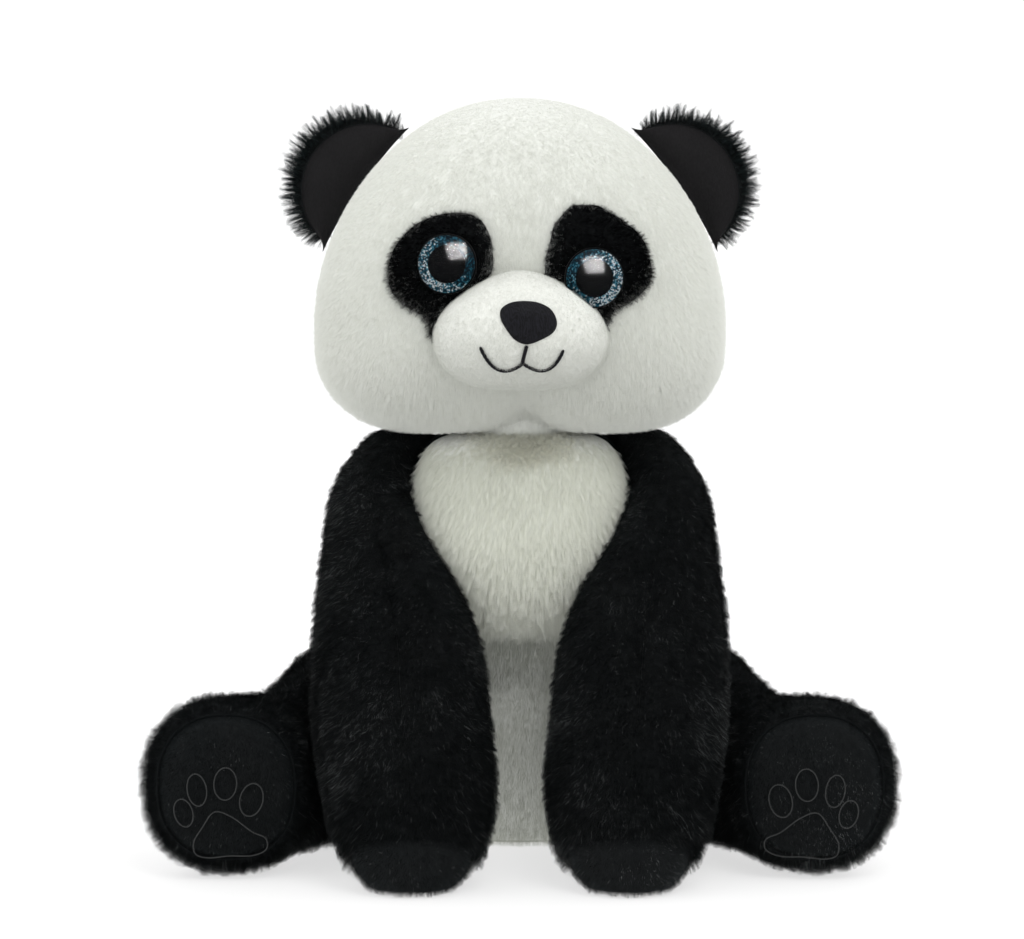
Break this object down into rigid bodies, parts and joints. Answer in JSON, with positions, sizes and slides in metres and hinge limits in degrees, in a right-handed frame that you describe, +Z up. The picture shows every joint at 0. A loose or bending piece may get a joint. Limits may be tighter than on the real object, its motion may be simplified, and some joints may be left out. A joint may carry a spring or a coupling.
{
  "type": "plush panda",
  "caption": "Sitting plush panda with a big round head, black eye patches, ears, arms and legs, sewn pile panels over soft filling.",
  "frame": {"origin": "middle of the toy's footprint box, on the surface that it sits on", "axes": "+Z up, the face looks along -Y, +X to the right as seen from the front; left pieces are on the -X side"},
  "size_m": [0.308, 0.2142, 0.3179],
  "materials": {
    "white_pile": "matte",
    "black_pile": "matte",
    "patch_pile": "matte",
    "muzzle_pile": "matte",
    "ear_velvet": "matte",
    "sole_pile": "matte",
    "print_thread": "satin",
    "nose_thread": "satin",
    "mouth_thread": "matte",
    "seam_thread": "matte",
    "label_cloth": "satin",
    "stuffing": "matte",
    "eye_dome": "gloss",
    "eye_glitter": "gloss",
    "eye_black": "gloss",
    "washer_plastic": "matte"
  },
  "bodies": {
    "torso": {"torso_stuffing": "stuffing", "chest_panel": "white_pile", "belly_panel": "white_pile", "back_panel_left": "white_pile", "back_panel_right": "white_pile", "yoke_panel_left": "black_pile", "yoke_panel_right": "black_pile", "seat_panel": "white_pile", "closing_stitches": "seam_thread", "care_label": "label_cloth"},
    "neck": {"neck_stuffing": "stuffing"},
    "head": {"head_stuffing": "stuffing", "face_panel_left": "white_pile", "face_panel_right": "white_pile", "forehead_gusset": "white_pile", "head_back_left": "white_pile", "head_back_right": "white_pile", "eye_patch_left": "patch_pile", "eye_patch_right": "patch_pile", "muzzle_cover": "muzzle_pile", "muzzle_stuffing": "stuffing", "nose_patch": "nose_thread", "mouth_stitches": "mouth_thread", "eye_lens_left": "eye_dome", "eye_iris_left": "eye_glitter", "eye_pupil_left": "eye_black", "eye_shank_left": "eye_black", "eye_washer_left": "washer_plastic", "eye_lens_right": "eye_dome", "eye_iris_right": "eye_glitter", "eye_pupil_right": "eye_black", "eye_shank_right": "eye_black", "eye_washer_right": "washer_plastic"},
    "left_ear": {"ear_front_left": "ear_velvet", "ear_back_left": "black_pile"},
    "right_ear": {"ear_front_right": "ear_velvet", "ear_back_right": "black_pile"},
    "left_arm": {"arm_left_outer": "black_pile", "arm_left_inner": "black_pile", "paw_pad_left": "sole_pile", "arm_left_stuffing": "stuffing"},
    "right_arm": {"arm_right_outer": "black_pile", "arm_right_inner": "black_pile", "paw_pad_right": "sole_pile", "arm_right_stuffing": "stuffing"},
    "left_leg": {"leg_left_top": "black_pile", "leg_left_under": "black_pile", "foot_sole_left": "sole_pile", "sole_print_left": "print_thread", "leg_left_stuffing": "stuffing"},
    "right_leg": {"leg_right_top": "black_pile", "leg_right_under": "black_pile", "foot_sole_right": "sole_pile", "sole_print_right": "print_thread", "leg_right_stuffing": "stuffing"},
    "tail": {"tail_left": "white_pile", "tail_right": "white_pile", "tail_stuffing": "stuffing"}
  },
  "joints": [
    {"name": "head_turn", "type": "hinge", "parent": "torso", "child": "neck", "pos_m": [0, 0, 0.179], "axis": [0, 0, 1], "range_deg": [-30, 30], "stiffness_Nm_per_rad": 1.5},
    {"name": "head_nod", "type": "hinge", "parent": "neck", "child": "head", "pos_m": [0, 0, 0.179], "axis": [1, 0, 0], "range_deg": [-8, 12], "stiffness_Nm_per_rad": 1.5},
    {"name": "left_ear_fold", "type": "hinge", "parent": "head", "child": "left_ear", "pos_m": [-0.0649, 0.01, 0.2786], "axis": [0.5726, 0, 0.8198], "range_deg": [-20, 25], "stiffness_Nm_per_rad": 0.15},
    {"name": "right_ear_fold", "type": "hinge", "parent": "head", "child": "right_ear", "pos_m": [0.0649, 0.01, 0.2786], "axis": [0.5726, 0, -0.8198], "range_deg": [-20, 25], "stiffness_Nm_per_rad": 0.15},
    {"name": "left_arm_lift", "type": "hinge", "parent": "torso", "child": "left_arm", "pos_m": [-0.062, 0, 0.14], "axis": [-1, 0, 0], "range_deg": [0, 45], "stiffness_Nm_per_rad": 0.8},
    {"name": "right_arm_lift", "type": "hinge", "parent": "torso", "child": "right_arm", "pos_m": [0.062, 0, 0.14], "axis": [-1, 0, 0], "range_deg": [0, 45], "stiffness_Nm_per_rad": 0.8},
    {"name": "left_leg_spread", "type": "hinge", "parent": "torso", "child": "left_leg", "pos_m": [-0.052, 0.052, 0.044], "axis": [0, 0, -1], "range_deg": [0, 30], "stiffness_Nm_per_rad": 0.8},
    {"name": "right_leg_spread", "type": "hinge", "parent": "torso", "child": "right_leg", "pos_m": [0.052, 0.052, 0.044], "axis": [0, 0, 1], "range_deg": [0, 30], "stiffness_Nm_per_rad": 0.8},
    {"name": "tail_swing", "type": "hinge", "parent": "torso", "child": "tail", "pos_m": [0, 0.0935, 0.032], "axis": [1, 0, 0], "range_deg": [-12, 12], "stiffness_Nm_per_rad": 0.1}
  ]
}
